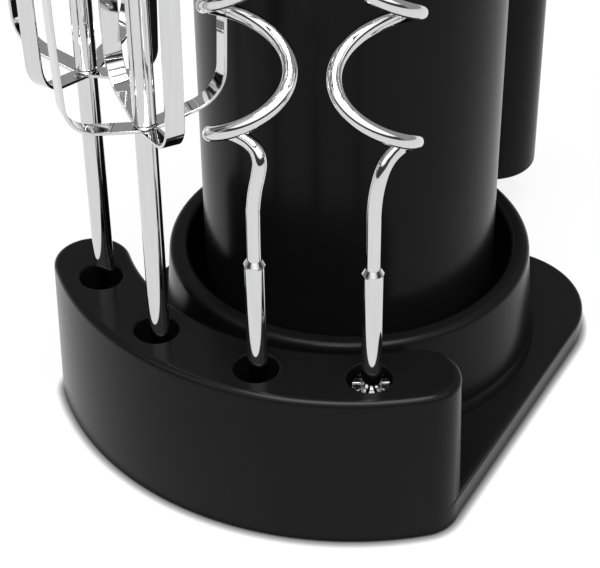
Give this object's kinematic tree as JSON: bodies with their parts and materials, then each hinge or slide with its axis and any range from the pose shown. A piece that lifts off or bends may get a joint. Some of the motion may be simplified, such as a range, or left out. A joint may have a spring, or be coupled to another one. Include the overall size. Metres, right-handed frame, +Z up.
{
  "type": "hand mixer",
  "caption": "Tower-style electric hand mixer docked upright on a storage stand whose curved rack holds balloon beaters and spiral dough hooks.",
  "frame": {"origin": "on the table, under the middle of the whole object as it stands", "axes": "+Z up; the rack faces -Y and the handle is at +Y; +X is to the right of someone facing the rack"},
  "size_m": [0.1395, 0.221, 0.216],
  "materials": {
    "black_plastic": "semi-gloss black moulded plastic",
    "grey_plastic": "dark grey moulded plastic",
    "rubber": "soft black rubber",
    "chrome": "polished chrome plate",
    "steel": "plain steel",
    "copper": null,
    "bronze": null,
    "nylon": "natural nylon",
    "carbon": "pressed carbon",
    "circuit_board": "coated circuit board"
  },
  "bodies": {
    "stand": {"stand_base": "black_plastic", "docking_collar": "black_plastic", "well_mat": "rubber", "base_cover": "black_plastic", "rubber_foot_1": "rubber", "rubber_foot_2": "rubber", "rubber_foot_3": "rubber", "rubber_foot_4": "rubber", "base_screw_1": "steel", "base_screw_2": "steel", "base_screw_3": "steel", "base_screw_4": "steel"},
    "mixer": {"body_tube": "black_plastic", "rear_cap": "black_plastic", "front_cap": "black_plastic", "socket_collar_left": "grey_plastic", "socket_collar_right": "grey_plastic", "cord_grommet": "rubber", "handle_shell_left": "black_plastic", "handle_shell_right": "black_plastic", "handle_end_plug": "black_plastic", "bridge_housing": "black_plastic", "switch_board": "circuit_board", "stator_core": "steel", "field_coil_left": "copper", "field_coil_right": "copper", "motor_bracket": "grey_plastic", "carbon_brush_left": "carbon", "carbon_brush_right": "carbon", "bearing_lower": "bronze", "bearing_upper": "bronze", "gear_frame": "grey_plastic", "eject_spring": "steel"},
    "rotor": {"rotor_shaft": "steel", "armature_core": "steel", "commutator": "copper", "winding_head_lower": "copper", "winding_head_upper": "copper", "cooling_fan": "nylon"},
    "drive_left": {"worm_wheel_left": "nylon", "spindle_left": "steel"},
    "drive_right": {"worm_wheel_right": "nylon", "spindle_right": "steel"},
    "ejector": {"eject_button": "grey_plastic", "ejector_yoke": "steel"},
    "speed_control": {"speed_slider": "grey_plastic"},
    "turbo_control": {"turbo_button": "grey_plastic"},
    "beater_1": {"beater_1_shaft": "chrome", "beater_1_sleeve": "chrome", "beater_1_loop_a": "chrome", "beater_1_loop_b": "chrome"},
    "beater_2": {"beater_2_shaft": "chrome", "beater_2_sleeve": "chrome", "beater_2_loop_a": "chrome", "beater_2_loop_b": "chrome"},
    "hook_left": {"hook_left_spiral": "chrome", "hook_left_shank": "chrome"},
    "hook_right": {"hook_right_spiral": "chrome", "hook_right_shank": "chrome", "hook_crown": "chrome"}
  },
  "joints": [
    {"name": "mixer_lift", "type": "slide", "parent": "stand", "child": "mixer", "axis": [0, 0, 1], "range_m": [0, 0.06]},
    {"name": "beater_1_lift", "type": "slide", "parent": "stand", "child": "beater_1", "axis": [0, 0, 1], "range_m": [0, 0.055]},
    {"name": "beater_2_lift", "type": "slide", "parent": "stand", "child": "beater_2", "axis": [0, 0, 1], "range_m": [0, 0.055]},
    {"name": "hook_left_lift", "type": "slide", "parent": "stand", "child": "hook_left", "axis": [0, 0, 1], "range_m": [0, 0.055]},
    {"name": "hook_right_lift", "type": "slide", "parent": "stand", "child": "hook_right", "axis": [0, 0, 1], "range_m": [0, 0.055]},
    {"name": "rotor_spin", "type": "hinge", "parent": "mixer", "child": "rotor", "pos_m": [0, -0.00898, 0.1], "axis": [0, 0, 1], "continuous": true},
    {"name": "spindle_left_spin", "type": "hinge", "parent": "mixer", "child": "drive_left", "pos_m": [-0.022, -0.00898, 0.183], "axis": [0, 1, 0], "continuous": true},
    {"name": "spindle_right_spin", "type": "hinge", "parent": "mixer", "child": "drive_right", "pos_m": [0.022, -0.00898, 0.183], "axis": [0, 1, 0], "continuous": true},
    {"name": "eject_press", "type": "slide", "parent": "mixer", "child": "ejector", "axis": [0, -1, 0], "range_m": [0, 0.005], "stiffness_N_per_m": 2500, "springref_m": -0.004, "deforming": ["eject_spring"]},
    {"name": "speed_slide", "type": "slide", "parent": "mixer", "child": "speed_control", "axis": [0, 0, 1], "range_m": [0, 0.018]},
    {"name": "turbo_press", "type": "slide", "parent": "mixer", "child": "turbo_control", "axis": [0, -1, 0], "range_m": [0, 0.002], "stiffness_N_per_m": 1200, "springref_m": -0.0015}
  ],
  "couplings": [
    {"joint": "spindle_left_spin", "follows": "rotor_spin", "ratio": 0.066667},
    {"joint": "spindle_right_spin", "follows": "rotor_spin", "ratio": -0.066667},
    {"joint": "beater_2_lift", "follows": "beater_1_lift", "ratio": 1}
  ]
}
